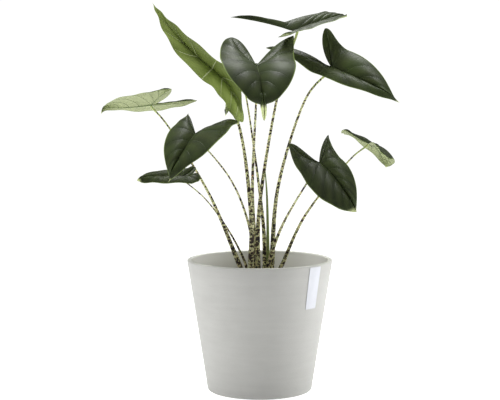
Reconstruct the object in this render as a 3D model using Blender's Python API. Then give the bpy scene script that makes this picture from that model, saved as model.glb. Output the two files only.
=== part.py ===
"""Potted alocasia: a tapered planter, compost, a rootstock, ten banded leaf stems and their
arrow-shaped blades, and one rolled new leaf. Metres, +Z up, origin at the middle of the underside."""
import math

import bmesh
import bpy
import numpy as np

MM = 0.001

# planter
RIM_RADIUS = 150 * MM
BASE_RADIUS = 107 * MM
POT_HEIGHT = 272 * MM
WALL = 10 * MM
FLOOR = 12 * MM
LIP_ROUND = 3 * MM
BASE_ROUND = 7 * MM
BOSS_RADIUS = 60 * MM
RECESS_WIDTH = 26 * MM
RECESS_DEPTH = 3 * MM
INNER_FILLET = 8 * MM
POT_SIDES = 48
ROUND_STEPS = 3

# label strip on the outside of the wall
LABEL_HEIGHT = 86 * MM
LABEL_WIDTH = 33 * MM
LABEL_THICKNESS = 0.8 * MM
LABEL_BELOW_LIP = 3 * MM
LABEL_AZIMUTH = -42
LABEL_STEPS = 4

# compost and rootstock
GAP = 0.3 * MM
SOIL_BELOW_LIP = 60 * MM
ROOT_HEIGHT = 8 * MM
ROOT_REACH = 9 * MM
ROOT_SLOPE = 5 * MM
ROOT_SIDES = 32

# leaf stems and blades
STEM_SIDES = 9
STEM_RINGS = 16
STEM_RISE = 14 * MM
STEM_TAPER = 2.0
BLADE_THICKNESS = 1.0 * MM
BLADE_ROWS = 14
LOBE_ROWS = 7
BLADE_COLUMNS = 4
ARC_STEPS = 24
NORMAL_STEP = 0.5 * MM
TURN_REACH = 0.15
SMOOTH_SPAN = 12
PLANT_SCALE = 1.0

# How the edges of a flat blade are pulled between their ends, as shares of the sizes in the leaf table.
EDGE = dict(tip_lead=0.82, blunt_rise=0.60, front_lead=0.60, front_full=0.98, back_lead=0.40, back_end=0.97,
            sinus_start=(0.08, 0.10), sinus_end=0.88, sinus_reach=0.40, sinus_out=0.52, drip_flare=0.65)
LOBE_RIB = ((0.25, 0.30), (0.65, 0.85))
LEAF_DEFAULTS = dict(notch=0.08, widest=(0.02, 0.02), full=(0.0, 0.0), shoulder=(0.7, 0.7), blunt=(0.0, 0.0),
                     lobe_turn=(0, 0), tip_bend=0, drip=None)

SOIL_LEVEL = POT_HEIGHT - SOIL_BELOW_LIP
ROOT_TOP = SOIL_LEVEL + GAP + ROOT_HEIGHT

# One entry per leaf. Lengths are in millimetres and angles in degrees.
# at: where the stem meets the blade, measured from the middle of the rootstock's top.
# heading, pitch, roll: how the midrib points. length: from the stem to the tip.
# lobe and lobe_out: how far each back lobe reaches behind and beside the stem (left, right).
# bend, tip_bend, lobe_bend: how much the midrib, its last quarter and the lobes droop.
# lobe_turn: how far a lobe dips from the midrib's line, just behind the stem.
# fold: how far each half is raised from the midrib (left, right).
# notch: where the lobes part and start to droop behind the stem, as a share of the length.
# widest: where each half is widest, as a share of the length ahead of the stem.
# full and shoulder: how far a lobe's inner and outer edges bulge. blunt: how round the tip is.
# drip: where a narrow drip tip starts and half of its width, as shares of the length.
# stem: the points that it passes, from its foot on the rootstock; radii: at its foot and at its top.
LEAVES = {
    "01": dict(at=(-226, 50, 366), heading=140, pitch=-8, roll=16, length=152, half_width=(55, 55),
               lobe=(100, 94), lobe_out=(42, 40), bend=-10, tip_bend=80, lobe_bend=(-6, -5), fold=(10, 8),
               widest=(0.02, 0.3), shoulder=(0.7, 0.3),
               stem=((-30, 2, 0), (-44, -6, 46), (-104, 28, 182), (-185, 50, 315)), radii=(6.0, 1.7)),
    "02": dict(at=(-129, -85, 312), heading=-114, pitch=-24, roll=-5, length=146, half_width=(74, 50),
               lobe=(82, 86), lobe_out=(42, 61), bend=25, lobe_bend=(30, 30), fold=(15, 15),
               notch=0.02, full=(0.35, -0.2), widest=(0.04, 0.02), shoulder=(1.2, 0.7),
               stem=((-4, -6, 0), (-12, -16, 47), (-23, -25, 127), (-59, -46, 219)), radii=(5.0, 1.4)),
    "03": dict(at=(-160, -32, 222), heading=-145, pitch=4, roll=-14, length=103, half_width=(42, 42),
               lobe=(34, 62), lobe_out=(13, 36), bend=10, lobe_bend=(0, -25), fold=(5, 5),
               lobe_turn=(-25, 0), blunt=(0.6, 0.6),
               stem=((-27, -14, 0), (-30, -24, 47), (-63, -28, 113), (-110, -27, 177)), radii=(3.5, 1.2)),
    "04": dict(at=(-96, -15, 441), heading=180, pitch=38, roll=-72, length=184, half_width=(45, 33),
               lobe=(128, 128), lobe_out=(14, 14), bend=-20, lobe_bend=(50, 50), fold=(36, 70),
               stem=((-16, -24, 0), (-18, -36, 48), (-18, -44, 150), (-42, 8, 323)), radii=(7.0, 2.6)),
    "05": dict(at=(-6, -110, 446), heading=-83, pitch=-18, roll=0, length=155, half_width=(76, 73),
               lobe=(116, 128), lobe_out=(88, 38), bend=45, tip_bend=40, lobe_bend=(-15, -15), fold=(12, 12),
               full=(0.05, 0.38), shoulder=(-0.3, 0.75), drip=(0.775, 0.037),
               stem=((-10, 10, 0), (-8, 4, 47), (-15, 0, 195), (-8, -50, 370)), radii=(6.0, 2.0)),
    "06": dict(at=(148, 15, 444), heading=-48, pitch=-15, roll=32, length=200, half_width=(51, 44),
               lobe=(98, 160), lobe_out=(66, 46), bend=10, lobe_bend=(-15, 24), fold=(17, 17),
               lobe_turn=(0, -17), notch=0.02, full=(-0.05, 0.45), shoulder=(-1.2, 0.3),
               stem=((22, 4, 0), (25, 4, 47), (38, 10, 201), (91, 20, 373)), radii=(6.5, 2.2)),
    "07": dict(at=(78, 40, 520), heading=42, pitch=14, roll=11, length=146, half_width=(43, 60),
               lobe=(152, 98), lobe_out=(40, 46), bend=5, lobe_bend=(12, -10), fold=(14, 14),
               lobe_turn=(-24, 0), full=(-0.25, 0.0), widest=(0.78, 0.02), blunt=(1.0, 0.5),
               stem=((2, -20, 0), (-4, -26, 47), (1, -15, 177), (36, 15, 383)), radii=(6.0, 2.2)),
    "08": dict(at=(-36, 85, 413), heading=112, pitch=-32, roll=-35, length=125, half_width=(35, 40),
               lobe=(60, 46), lobe_out=(30, 26), bend=10, lobe_bend=(20, 20), fold=(6, 6),
               stem=((10, 18, 0), (11, 20, 47), (5, 28, 146), (-21, 65, 340)), radii=(6.0, 1.7)),
    "09": dict(at=(119, -90, 255), heading=-60, pitch=-20, roll=26, length=158, half_width=(40, 56),
               lobe=(72, 82), lobe_out=(64, 28), bend=26, lobe_bend=(0, -25), fold=(2, 8),
               notch=0.02, full=(-0.08, 0.3), widest=(0.10, 0.40), shoulder=(0.1, 0.1), blunt=(0.2, 0.6),
               stem=((16, -22, 0), (18, -30, 47), (46, -50, 128), (94, -76, 215)), radii=(5.5, 1.7)),
    "10": dict(at=(226, 30, 287), heading=70, pitch=-6, roll=35, length=145, half_width=(56, 58),
               lobe=(72, 80), lobe_out=(38, 38), bend=36, lobe_bend=(-25, -32), fold=(-14, 5),
               blunt=(0.0, 0.4),
               stem=((34, 12, 0), (47, 12, 40), (95, 15, 142), (181, 25, 249)), radii=(5.0, 1.6)),
}

SPEAR = dict(stem=((16, -8, 0), (17, -12, 70), (15, -14, 174), (11, -17, 236)), radii=(4.4, 0.6), taper=0.6)

NEWEST_LEAF = "04"

COLOURS = {
    "planter": ((0.55, 0.54, 0.51), 0.75),
    "label": ((0.88, 0.89, 0.92), 0.80),
    "soil": ((0.05, 0.033, 0.022), 0.95),
    "rootstock": ((0.16, 0.11, 0.06), 0.85),
    "stem": ((0.42, 0.42, 0.20), 0.45),
    "blade": ((0.035, 0.055, 0.028), 0.38),
    "blade_new": ((0.16, 0.28, 0.06), 0.42),
    "spear": ((0.12, 0.19, 0.05), 0.45),
}


def clear_scene():
    for old in list(bpy.data.objects):
        bpy.data.objects.remove(old, do_unlink=True)


def make_material(name):
    colour, roughness = COLOURS[name]
    material = bpy.data.materials.new(name)
    material.use_nodes = True
    shader = material.node_tree.nodes["Principled BSDF"]
    shader.inputs["Base Color"].default_value = (*colour, 1.0)
    shader.inputs["Roughness"].default_value = roughness
    shader.inputs["Metallic"].default_value = 0.0
    material.diffuse_color = (*colour, 1.0)
    return material


def add_object(name, points, faces, material, sharp_degrees=40):
    mesh = bpy.data.meshes.new(name)
    mesh.from_pydata([tuple(p) for p in points], [], faces)
    mesh.materials.append(material)
    shell = bmesh.new()
    shell.from_mesh(mesh)
    bmesh.ops.recalc_face_normals(shell, faces=shell.faces)
    if shell.calc_volume(signed=True) < 0:
        bmesh.ops.reverse_faces(shell, faces=shell.faces)
    shell.to_mesh(mesh)
    shell.free()
    mesh.shade_smooth()
    mesh.set_sharp_from_angle(angle=math.radians(sharp_degrees))
    body = bpy.data.objects.new(name, mesh)
    bpy.context.scene.collection.objects.link(body)
    return body


def arc_points(centre, radius, start, end, steps):
    """Points of an arc in the (radius, height) plane, angles in degrees from outward."""
    angles = [math.radians(start + (end - start) * i / steps) for i in range(steps + 1)]
    return [(centre[0] + radius * math.cos(a), centre[1] + radius * math.sin(a)) for a in angles]


def turned_body(profile, sides):
    """Points and faces of a profile of (radius, height) turned about Z, its ends on the axis."""
    points = [(0.0, 0.0, profile[0][1])]
    for radius, height in profile[1:-1]:
        for i in range(sides):
            angle = 2 * math.pi * i / sides
            points.append((radius * math.cos(angle), radius * math.sin(angle), height))
    points.append((0.0, 0.0, profile[-1][1]))
    rings = len(profile) - 2
    last = len(points) - 1
    faces = []
    for i in range(sides):
        j = (i + 1) % sides
        faces.append((0, 1 + j, 1 + i))
        for k in range(rings - 1):
            low = 1 + k * sides
            high = low + sides
            faces.append((low + i, low + j, high + j, high + i))
        top = 1 + (rings - 1) * sides
        faces.append((top + i, top + j, last))
    return points, faces


def outer_radius(height):
    return BASE_RADIUS + (RIM_RADIUS - BASE_RADIUS) * height / POT_HEIGHT


def inner_radius(height):
    return outer_radius(height) - WALL


def make_planter(material):
    foot_inner = BOSS_RADIUS + RECESS_WIDTH
    lip_start = POT_HEIGHT - LIP_ROUND
    lip_outer = (outer_radius(lip_start) - LIP_ROUND, lip_start)
    lip_inner = (inner_radius(lip_start) + LIP_ROUND, lip_start)
    floor_corner = inner_radius(FLOOR) - INNER_FILLET
    profile = [(0, 0), (BOSS_RADIUS, 0), (BOSS_RADIUS + RECESS_DEPTH, RECESS_DEPTH),
               (foot_inner - RECESS_DEPTH, RECESS_DEPTH), (foot_inner, 0)]
    base_edge = (outer_radius(BASE_ROUND) - BASE_ROUND, BASE_ROUND)
    profile += arc_points(base_edge, BASE_ROUND, -90, 0, ROUND_STEPS)
    profile += arc_points(lip_outer, LIP_ROUND, 0, 90, ROUND_STEPS)
    profile += arc_points(lip_inner, LIP_ROUND, 90, 180, ROUND_STEPS)
    profile += [(inner_radius(FLOOR + INNER_FILLET), FLOOR + INNER_FILLET), (floor_corner, FLOOR), (0, FLOOR)]
    points, faces = turned_body(profile, POT_SIDES)
    add_object("planter_pot", points, faces, material)


def make_label(material):
    """A thin strip that follows the wall, on the same facets as the planter."""
    facet = math.cos(math.pi / POT_SIDES)
    top = POT_HEIGHT - LABEL_BELOW_LIP
    half_angle = LABEL_WIDTH / outer_radius(top) / 2
    points = []
    for step in range(LABEL_STEPS + 1):
        angle = math.radians(LABEL_AZIMUTH) + half_angle * (2 * step / LABEL_STEPS - 1)
        for height in (top, top - LABEL_HEIGHT):
            for offset in (GAP, GAP + LABEL_THICKNESS):
                radius = outer_radius(height) + offset / facet
                points.append((radius * math.cos(angle), radius * math.sin(angle), height))
    faces = [(0, 1, 3, 2)]
    for step in range(LABEL_STEPS):
        a = 4 * step
        b = a + 4
        faces.append((a, a + 2, b + 2, b))
        faces.append((a + 1, b + 1, b + 3, a + 3))
        faces.append((a, b, b + 1, a + 1))
        faces.append((a + 2, a + 3, b + 3, b + 2))
    a = 4 * LABEL_STEPS
    faces.append((a, a + 2, a + 3, a + 1))
    add_object("label_strip", points, faces, material)


def make_soil(material):
    low = FLOOR + GAP
    corner = low + INNER_FILLET
    profile = [(0, low), (inner_radius(low) - INNER_FILLET - GAP, low),
               (inner_radius(corner) - 2 * GAP, corner),
               (inner_radius(SOIL_LEVEL) - 2 * GAP, SOIL_LEVEL), (0, SOIL_LEVEL)]
    points, faces = turned_body(profile, POT_SIDES)
    add_object("potting_soil", points, faces, material)


def make_rootstock(material):
    """A low mound on the compost, wide enough to carry the foot of every stem."""
    feet = [np.array(leaf["stem"][0][:2]) * MM * PLANT_SCALE for leaf in LEAVES.values()]
    low = np.min(feet, axis=0) - ROOT_REACH
    high = np.max(feet, axis=0) + ROOT_REACH
    centre = (low + high) / 2
    half = (high - low) / 2
    points = []
    for height, spread in ((SOIL_LEVEL + GAP, ROOT_SLOPE), (ROOT_TOP, 0.0)):
        for i in range(ROOT_SIDES):
            angle = 2 * math.pi * i / ROOT_SIDES
            points.append((centre[0] + (half[0] + spread) * math.cos(angle),
                           centre[1] + (half[1] + spread) * math.sin(angle), height))
    faces = [tuple(range(ROOT_SIDES))[::-1], tuple(range(ROOT_SIDES, 2 * ROOT_SIDES))]
    for i in range(ROOT_SIDES):
        j = (i + 1) % ROOT_SIDES
        faces.append((i, j, ROOT_SIDES + j, ROOT_SIDES + i))
    add_object("rootstock", points, faces, material)


def cubic(p0, p1, p2, p3, t):
    """Points of a Bezier curve for an array of t."""
    t = np.asarray(t, dtype=float)[:, None]
    p0, p1, p2, p3 = (np.array(p, dtype=float) for p in (p0, p1, p2, p3))
    return (1 - t) ** 3 * p0 + 3 * (1 - t) ** 2 * t * p1 + 3 * (1 - t) * t * t * p2 + t ** 3 * p3


def narrowed(edge, start, half):
    """The blade's edge drawn in to a narrow drip tip."""
    beyond = np.clip((edge[:, 0] - start) / (1 - start), 0, 1)
    flare = EDGE["drip_flare"] * np.sqrt(np.maximum(start - edge[:, 0], 0))
    limit = half * np.sqrt(1 - beyond ** 2) + flare
    across = np.where(beyond > 0, limit, np.minimum(edge[:, 1], limit))
    return np.stack([edge[:, 0], across], axis=1)


def flat_outline(leaf, side, rows, lobe_rows):
    """Ribs and edges of one half of the blade laid flat, as (along, across) in blade lengths."""
    pick = 0 if side > 0 else 1
    length = leaf["length"]
    width = leaf["half_width"][pick] / length
    lobe = leaf["lobe"][pick] / length
    out = leaf["lobe_out"][pick] / length
    notch = leaf["notch"]
    full = leaf["full"][pick]
    shoulder = leaf["shoulder"][pick]
    widest = leaf["widest"][pick]
    blunt = leaf["blunt"][pick]
    ahead = 1 - widest
    tip_lead = EDGE["tip_lead"] + (1 - EDGE["tip_lead"]) * blunt
    t = np.linspace(0, 1, rows + 1)
    u = np.linspace(0, 1, lobe_rows + 1)
    midrib = np.stack([1 - t, 0 * t], axis=1)
    (near, near_out), (far, far_out) = LOBE_RIB
    lobe_rib = cubic((0, 0), (-near * lobe, near_out * out), (-far * lobe, far_out * out), (-lobe, out), u)
    front = cubic((1, 0), (widest + tip_lead * ahead, EDGE["blunt_rise"] * blunt * width),
                  (widest + EDGE["front_lead"] * ahead, EDGE["front_full"] * width), (widest, width), t)
    back = cubic((widest, width), (widest - EDGE["back_lead"] * lobe, width),
                 (-EDGE["back_end"] * lobe, out + shoulder * (width - out)), (-lobe, out), u)
    start, rise = EDGE["sinus_start"]
    sinus_end = EDGE["sinus_end"] + EDGE["sinus_reach"] * full
    sinus = cubic((-notch, 0), (-notch - start, (1 - full) * rise * out),
                  (-sinus_end * lobe, (EDGE["sinus_out"] - full) * out), (-lobe, out), u)
    if leaf["drip"]:
        front = narrowed(front, *leaf["drip"])
    return midrib, lobe_rib, front, back, sinus


def blade_point(leaf, along, across):
    """Where a point of the flat blade lies in space. Lengths in metres, across is positive to the left."""
    pick = 0 if across >= 0 else 1
    length = leaf["length"] * MM * PLANT_SCALE
    lobe = leaf["lobe"][pick] * MM * PLANT_SCALE
    notch = leaf["notch"] * length
    pitch = math.radians(leaf["pitch"])
    bend = math.radians(leaf["bend"]) / length
    tip_bend = math.radians(leaf["tip_bend"])
    lobe_bend = math.radians(leaf["lobe_bend"][pick]) / lobe
    lobe_turn = math.radians(leaf["lobe_turn"][pick])

    def slope(s):
        if s >= 0:
            return pitch - bend * s - tip_bend * max(4 * s / length - 3, 0) ** 2
        turned = min(-s / (TURN_REACH * length), 1)
        return pitch + lobe_turn * turned ** 2 * (3 - 2 * turned) - lobe_bend * min(s + notch, 0)

    steps = [along * (k + 0.5) / ARC_STEPS for k in range(ARC_STEPS)]
    run = sum(math.cos(slope(s)) for s in steps) * along / ARC_STEPS
    rise = sum(math.sin(slope(s)) for s in steps) * along / ARC_STEPS
    heading = math.radians(leaf["heading"])
    forward = np.array([math.cos(heading), math.sin(heading), 0.0])
    left = np.array([-math.sin(heading), math.cos(heading), 0.0])
    upward = np.array([0.0, 0.0, 1.0])
    normal = -math.sin(slope(along)) * forward + math.cos(slope(along)) * upward
    roll = math.radians(leaf["roll"])
    lateral = math.cos(roll) * left + math.sin(roll) * normal
    raised = -math.sin(roll) * left + math.cos(roll) * normal
    fold = math.radians(leaf["fold"][pick])
    sideways = math.cos(fold) * across * lateral + math.sin(fold) * abs(across) * raised
    centre = np.array(leaf["at"]) * MM * PLANT_SCALE + np.array([0.0, 0.0, ROOT_TOP])
    return centre + run * forward + rise * upward + sideways


def blade_normal(leaf, along, across):
    forward = blade_point(leaf, along + NORMAL_STEP, across) - blade_point(leaf, along - NORMAL_STEP, across)
    left = blade_point(leaf, along, across + NORMAL_STEP) - blade_point(leaf, along, across - NORMAL_STEP)
    normal = np.cross(forward, left)
    return normal / np.linalg.norm(normal)


def flat_blade(leaf):
    """Faces of the flat blade as an index list over shared (along, across) points in metres."""
    length = leaf["length"] * MM * PLANT_SCALE
    index = {}
    places = []
    faces = []

    def corner(point, side):
        key = (round(point[0] * length, 7), round(side * point[1] * length, 7) + 0.0)
        if key not in index:
            index[key] = len(places)
            places.append(key)
        return index[key]

    for side in (1, -1):
        midrib, lobe_rib, front, back, sinus = flat_outline(leaf, side, BLADE_ROWS, LOBE_ROWS)
        patches = ((midrib, front, BLADE_COLUMNS, side), (lobe_rib, back, BLADE_COLUMNS, side),
                   (lobe_rib, sinus, 1, -side))
        for inner, outer, columns, turn in patches:
            share = np.linspace(0, 1, columns + 1)[None, :, None]
            grid = inner[:, None, :] * (1 - share) + outer[:, None, :] * share
            for i in range(len(inner) - 1):
                for j in range(columns):
                    cell = ((i, j), (i, j + 1), (i + 1, j + 1), (i + 1, j))
                    corners = [corner(grid[a][b], side) for a, b in cell]
                    face = list(dict.fromkeys(corners))
                    if len(face) > 2:
                        faces.append(face if turn > 0 else face[::-1])
    return places, faces


def make_blade(name, leaf, material):
    """A closed sheet: an upper and a lower skin joined by the edge faces."""
    places, faces = flat_blade(leaf)
    half = BLADE_THICKNESS / 2
    middle = [blade_point(leaf, *place) for place in places]
    normals = [blade_normal(leaf, *place) for place in places]
    count = len(places)
    points = [p + half * n for p, n in zip(middle, normals)] + [p - half * n for p, n in zip(middle, normals)]
    sides = {(a, b) for face in faces for a, b in zip(face, face[1:] + face[:1])}
    shell = [tuple(face) for face in faces]
    shell += [tuple(count + i for i in reversed(face)) for face in faces]
    shell += [(b, a, count + a, count + b) for a, b in sorted(sides) if (b, a) not in sides]
    add_object(name, points, shell, material, sharp_degrees=60)


def stem_path(knots, rings):
    """A smooth curve through the knots, sampled evenly, as points and directions."""
    knots = [np.array(k, dtype=float) for k in knots]
    padded = [2 * knots[0] - knots[1]] + knots + [2 * knots[-1] - knots[-2]]
    fine = []
    for a, b, c, d in zip(padded, padded[1:], padded[2:], padded[3:]):
        for t in np.linspace(0, 1, SMOOTH_SPAN, endpoint=False):
            fine.append(0.5 * (2 * b + (c - a) * t + (2 * a - 5 * b + 4 * c - d) * t ** 2
                               + (3 * b - a - 3 * c + d) * t ** 3))
    fine.append(knots[-1])
    fine = np.array(fine)
    lengths = np.concatenate([[0], np.cumsum(np.linalg.norm(np.diff(fine, axis=0), axis=1))])
    marks = np.linspace(0, lengths[-1], rings)
    path = np.stack([np.interp(marks, lengths, fine[:, axis]) for axis in range(3)], axis=1)
    directions = np.gradient(path, axis=0)
    directions[0] = (0.0, 0.0, 1.0)
    return path, directions / np.linalg.norm(directions, axis=1)[:, None]


def make_stem(name, knots, radii, taper, material):
    """A tapered round stem. With a taper above 1 it thins quickly at its foot and slowly above."""
    path, directions = stem_path(knots, STEM_RINGS)
    share = np.linspace(0, 1, STEM_RINGS)
    foot, top = (r * MM * PLANT_SCALE for r in radii)
    thickness = top + (foot - top) * (1 - share) ** taper
    across = np.array([1.0, 0.0, 0.0])
    points = []
    for centre, direction, radius in zip(path, directions, thickness):
        across = across - np.dot(across, direction) * direction
        across = across / np.linalg.norm(across)
        other = np.cross(direction, across)
        for i in range(STEM_SIDES):
            angle = 2 * math.pi * i / STEM_SIDES
            points.append(centre + radius * (math.cos(angle) * across + math.sin(angle) * other))
    faces = [tuple(range(STEM_SIDES))[::-1]]
    for ring in range(STEM_RINGS - 1):
        low = ring * STEM_SIDES
        for i in range(STEM_SIDES):
            j = (i + 1) % STEM_SIDES
            faces.append((low + i, low + j, low + STEM_SIDES + j, low + STEM_SIDES + i))
    end = (STEM_RINGS - 1) * STEM_SIDES
    faces.append(tuple(range(end, end + STEM_SIDES)))
    add_object(name, points, faces, material)


def stem_knots(stem):
    """The stem's points in metres, with a short upright start on the rootstock."""
    base = np.array([0.0, 0.0, ROOT_TOP])
    knots = [np.array(k) * MM * PLANT_SCALE + base for k in stem]
    knots[0][2] += GAP
    knots.insert(1, knots[0] + np.array([0.0, 0.0, STEM_RISE]))
    return knots


def make_leaf(number, leaf, stem_material, blade_material):
    make_blade("leaf_blade_" + number, leaf, blade_material)
    under = blade_normal(leaf, 0.0, 0.0) * (BLADE_THICKNESS / 2 + GAP + leaf["radii"][1] * MM * PLANT_SCALE)
    knots = stem_knots(leaf["stem"])
    knots.append(blade_point(leaf, 0.0, 0.0) - under)
    make_stem("petiole_" + number, knots, leaf["radii"], STEM_TAPER, stem_material)


def main():
    clear_scene()
    materials = {name: make_material(name) for name in COLOURS}
    make_planter(materials["planter"])
    make_label(materials["label"])
    make_soil(materials["soil"])
    make_rootstock(materials["rootstock"])
    for number, leaf in LEAVES.items():
        blade = materials["blade_new"] if number == NEWEST_LEAF else materials["blade"]
        make_leaf(number, {**LEAF_DEFAULTS, **leaf}, materials["stem"], blade)
    make_stem("spear_sheath", stem_knots(SPEAR["stem"]), SPEAR["radii"], SPEAR["taper"], materials["spear"])


main()
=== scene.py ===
import math

import bpy
import numpy as np
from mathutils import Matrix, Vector


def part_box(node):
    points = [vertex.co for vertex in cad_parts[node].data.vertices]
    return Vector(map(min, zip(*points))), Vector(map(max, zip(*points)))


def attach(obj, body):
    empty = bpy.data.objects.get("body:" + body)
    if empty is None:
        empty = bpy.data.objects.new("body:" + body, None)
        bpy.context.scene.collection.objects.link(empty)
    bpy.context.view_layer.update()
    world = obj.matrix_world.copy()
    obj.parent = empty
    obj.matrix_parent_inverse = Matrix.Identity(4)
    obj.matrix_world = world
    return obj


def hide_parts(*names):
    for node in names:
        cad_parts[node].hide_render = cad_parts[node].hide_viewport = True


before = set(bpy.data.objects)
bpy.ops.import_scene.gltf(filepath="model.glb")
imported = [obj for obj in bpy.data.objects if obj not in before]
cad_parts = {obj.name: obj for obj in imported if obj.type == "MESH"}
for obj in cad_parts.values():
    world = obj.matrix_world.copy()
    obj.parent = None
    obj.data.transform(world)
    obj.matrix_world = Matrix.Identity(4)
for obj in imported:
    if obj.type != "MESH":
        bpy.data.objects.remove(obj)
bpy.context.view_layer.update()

mm = 0.001
print("frame loaded")


def plug(tree, socket, value):
    if isinstance(value, bpy.types.NodeSocket):
        tree.links.new(value, socket)
    elif socket.type == "RGBA" and len(value) == 3:
        socket.default_value = (*value, 1.0)
    else:
        socket.default_value = value


def addNode(tree, kind, inputs=None, **settings):
    made = tree.nodes.new(kind)
    made.location = (190 * (len(tree.nodes) % 10), -240 * (len(tree.nodes) // 10))
    for name, value in settings.items():
        setattr(made, name, value)
    for key, value in (inputs or {}).items():
        plug(tree, made.inputs[key], value)
    return made


def calc(tree, operation, a, b=0.0, c=0.0):
    return addNode(tree, "ShaderNodeMath", {0: a, 1: b, 2: c}, operation=operation).outputs[0]


def times(tree, a, b):
    return calc(tree, "MULTIPLY", a, b)


def plus(tree, a, b):
    return calc(tree, "ADD", a, b)


def minus(tree, a, b):
    return calc(tree, "SUBTRACT", a, b)


def calcVector(tree, operation, a, b):
    return addNode(tree, "ShaderNodeVectorMath", {0: a, 1: b}, operation=operation).outputs[0]


def scaleVector(tree, vector, factor):
    return addNode(tree, "ShaderNodeVectorMath", {0: vector, 3: factor}, operation="SCALE").outputs[0]


def lengthOf(tree, vector):
    return addNode(tree, "ShaderNodeVectorMath", {0: vector}, operation="LENGTH").outputs["Value"]


def splitAxes(tree, vector):
    return addNode(tree, "ShaderNodeSeparateXYZ", {0: vector}).outputs


def joinAxes(tree, x, y, z):
    return addNode(tree, "ShaderNodeCombineXYZ", {0: x, 1: y, 2: z}).outputs[0]


def easeRange(tree, value, low, high, toLow=0.0, toHigh=1.0):
    keys = {"Value": value, "From Min": low, "From Max": high, "To Min": toLow, "To Max": toHigh}
    return addNode(tree, "ShaderNodeMapRange", keys, interpolation_type="SMOOTHSTEP").outputs[0]


def mixColour(tree, share, first, second):
    return addNode(tree, "ShaderNodeMix", {0: share, 6: first, 7: second}, data_type="RGBA").outputs[2]


def blend(tree, mask, share, first, second):
    # the second colour over the first, at most this share of it, where the mask is
    return mixColour(tree, times(tree, mask, share), first, second)


def objectPlace(tree):
    return addNode(tree, "ShaderNodeTexCoord").outputs["Object"]


def noiseOf(tree, place, scale, detail, roughness, distortion=0.0):
    return addNode(tree, "ShaderNodeTexNoise", {
        "Vector": place, "Scale": scale, "Detail": detail, "Roughness": roughness,
        "Distortion": distortion}).outputs[0]


def attributeOf(tree, name, output="Fac"):
    return addNode(tree, "ShaderNodeAttribute", attribute_name=name).outputs[output]


socketTypes = {"float": "NodeSocketFloat", "vector": "NodeSocketVector", "int": "NodeSocketInt",
               "geometry": "NodeSocketGeometry", "material": "NodeSocketMaterial"}


def openGroup(name, inputs, outputs, kind="ShaderNodeTree"):
    tree = bpy.data.node_groups.new(name, kind)
    for label, form, value in inputs:
        made = tree.interface.new_socket(label, in_out="INPUT", socket_type=socketTypes[form])
        if value is not None:
            made.default_value = value
    for label, form in outputs:
        tree.interface.new_socket(label, in_out="OUTPUT", socket_type=socketTypes[form])
    return tree, tree.nodes.new("NodeGroupInput").outputs, tree.nodes.new("NodeGroupOutput").inputs


def placeGroup(tree, group, inputs):
    made = tree.nodes.new("ShaderNodeGroup")
    made.node_tree = group
    for key, value in inputs.items():
        plug(tree, made.inputs[key], value)
    return made.outputs


def openMaterial(name, **plain):
    material = bpy.data.materials.new(name)
    material.use_nodes = True
    tree = material.node_tree
    shader = tree.nodes["Principled BSDF"]
    for key, value in plain.items():
        shader.inputs[key.replace("_", " ")].default_value = value
    return material, tree, shader.inputs


def addBump(tree, shader, height, distance):
    made = addNode(tree, "ShaderNodeBump", {"Height": height, "Distance": distance})
    tree.links.new(made.outputs[0], shader["Normal"])


# shader groups, each used by several finishes

def makeFineGrain():
    tree, given, result = openGroup("fineGrain", [
        ("Place", "vector", None), ("Grain Scale", "float", 600.0), ("Blotch Scale", "float", 10.0)],
        [("Grain", "float"), ("Blotch", "float")])
    grain = noiseOf(tree, given["Place"], given["Grain Scale"], 3.0, 0.6)
    blotch = noiseOf(tree, given["Place"], given["Blotch Scale"], 4.0, 0.55)
    tree.links.new(easeRange(tree, grain, 0.25, 0.75), result["Grain"])
    tree.links.new(easeRange(tree, blotch, 0.3, 0.7), result["Blotch"])
    return tree


def makeSpecks():
    tree, given, result = openGroup("specks", [
        ("Place", "vector", None), ("Scale", "float", 400.0), ("Size", "float", 0.2),
        ("Share", "float", 0.3)],
        [("Mask", "float")])
    cells = addNode(tree, "ShaderNodeTexVoronoi", {"Vector": given["Place"], "Scale": given["Scale"]})
    split = addNode(tree, "ShaderNodeSeparateColor", {0: cells.outputs["Color"]}).outputs[0]
    near = calc(tree, "LESS_THAN", cells.outputs["Distance"], given["Size"])
    picked = calc(tree, "LESS_THAN", split, given["Share"])
    tree.links.new(times(tree, near, picked), result["Mask"])
    return tree


def makeFibreStreaks():
    tree, given, result = openGroup("fibreStreaks", [
        ("Place", "vector", None), ("Stretch", "vector", (1.0, 1.0, 0.1)), ("Scale", "float", 500.0)],
        [("Streak", "float")])
    drawn = calcVector(tree, "MULTIPLY", given["Place"], given["Stretch"])
    streak = noiseOf(tree, drawn, given["Scale"], 3.0, 0.6, 0.3)
    tree.links.new(easeRange(tree, streak, 0.3, 0.7), result["Streak"])
    return tree


def makeVeinLines():
    # Phase counts the side veins along the rib; Across runs from the rib, 0, to the edge, 1
    tree, given, result = openGroup("veinLines", [
        ("Phase", "float", 0.0), ("Across", "float", 0.0), ("Width", "float", 0.05)],
        [("Main", "float"), ("Fine", "float"), ("Painted Sheen", "float")])
    near = calc(tree, "PINGPONG", given["Phase"], 0.5)
    slim = times(tree, given["Width"], minus(tree, 1.15, given["Across"]))
    tree.links.new(minus(tree, 1.0, easeRange(tree, near, 0.0, slim)), result["Main"])
    lesser = calc(tree, "PINGPONG", times(tree, given["Phase"], 6.0), 0.5)
    tree.links.new(minus(tree, 1.0, easeRange(tree, lesser, 0.0, 0.22)), result["Fine"])
    # this output is 0 at each side vein and 1 midway between them; it paints a sheen on the cushions between
    # veins
    tree.links.new(easeRange(tree, near, 0.0, 0.5), result["Painted Sheen"])
    return tree


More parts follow.
